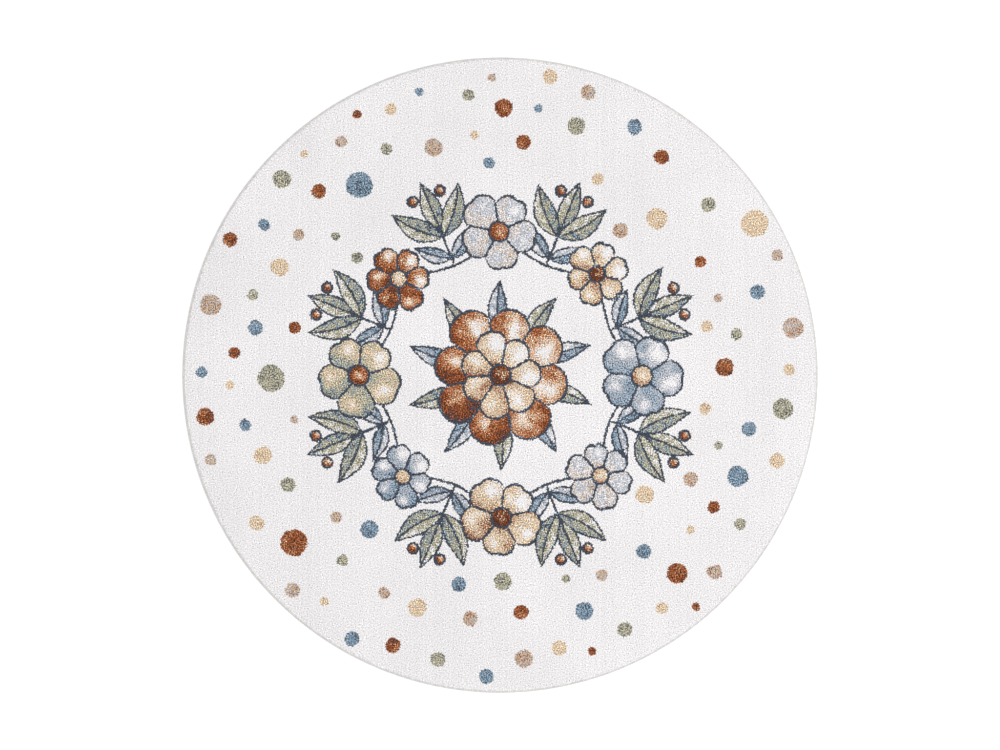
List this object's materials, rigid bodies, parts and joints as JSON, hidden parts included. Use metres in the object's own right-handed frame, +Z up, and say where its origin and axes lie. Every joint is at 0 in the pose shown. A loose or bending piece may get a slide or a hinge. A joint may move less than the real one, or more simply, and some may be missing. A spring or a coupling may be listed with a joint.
{
  "type": "round rug",
  "caption": "Round short-pile rug, woven in one piece, with an overcast yarn edge; it lies flat on a floor and carries what stands on it.",
  "frame": {"origin": "centre of the underside, on the floor", "axes": "+Z up out of the pile, +Y towards the top of the woven design, +X to its right"},
  "size_m": [1.2, 1.2, 0.01],
  "materials": {
    "pile": "cut short pile of cream yarn, with woven-in dots and motifs in ochre, rust, sage, blue and taupe",
    "edge_yarn": "plied yarn wound close round the rim"
  },
  "bodies": {
    "root": {"rug": "pile", "edge_overcast": "edge_yarn"}
  },
  "joints": []
}
